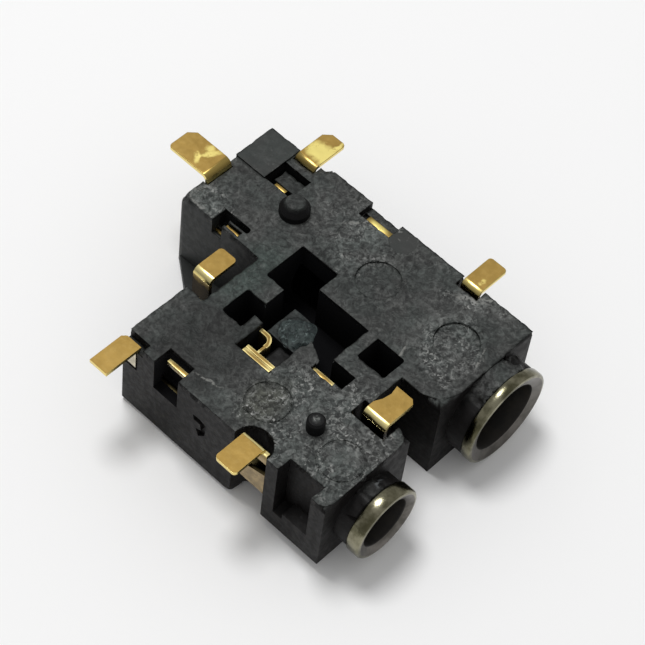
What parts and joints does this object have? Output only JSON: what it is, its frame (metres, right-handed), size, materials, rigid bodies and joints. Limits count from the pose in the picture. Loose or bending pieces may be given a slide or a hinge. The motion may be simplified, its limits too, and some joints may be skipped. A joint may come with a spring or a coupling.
{
  "type": "audio jack",
  "caption": "Surface-mount audio jack with a large and a small plug socket side by side in one moulding, nickel mouth rings, gold solder feet and locating pegs.",
  "frame": {"origin": "middle of the large locating peg's foot, in the plane of the board face", "axes": "+Z out of the board face towards the board, -Y out of the mouths of the sockets, +X from the small socket towards the large one"},
  "size_m": [0.017, 0.0197, 0.0058],
  "materials": {
    "black_moulding": "matt",
    "nickel_plating": "satin",
    "gold_plating": "satin"
  },
  "bodies": {
    "root": {"housing": "black_moulding", "mouth_ring_large": "nickel_plating", "mouth_ring_small": "nickel_plating", "large_sleeve_contact": "gold_plating", "large_ring_contact": "gold_plating", "large_tip_contact": "gold_plating", "small_tip_contact": "gold_plating", "small_switch_contact": "gold_plating", "small_ring_contact": "gold_plating", "small_sleeve_contact": "gold_plating"}
  },
  "joints": []
}
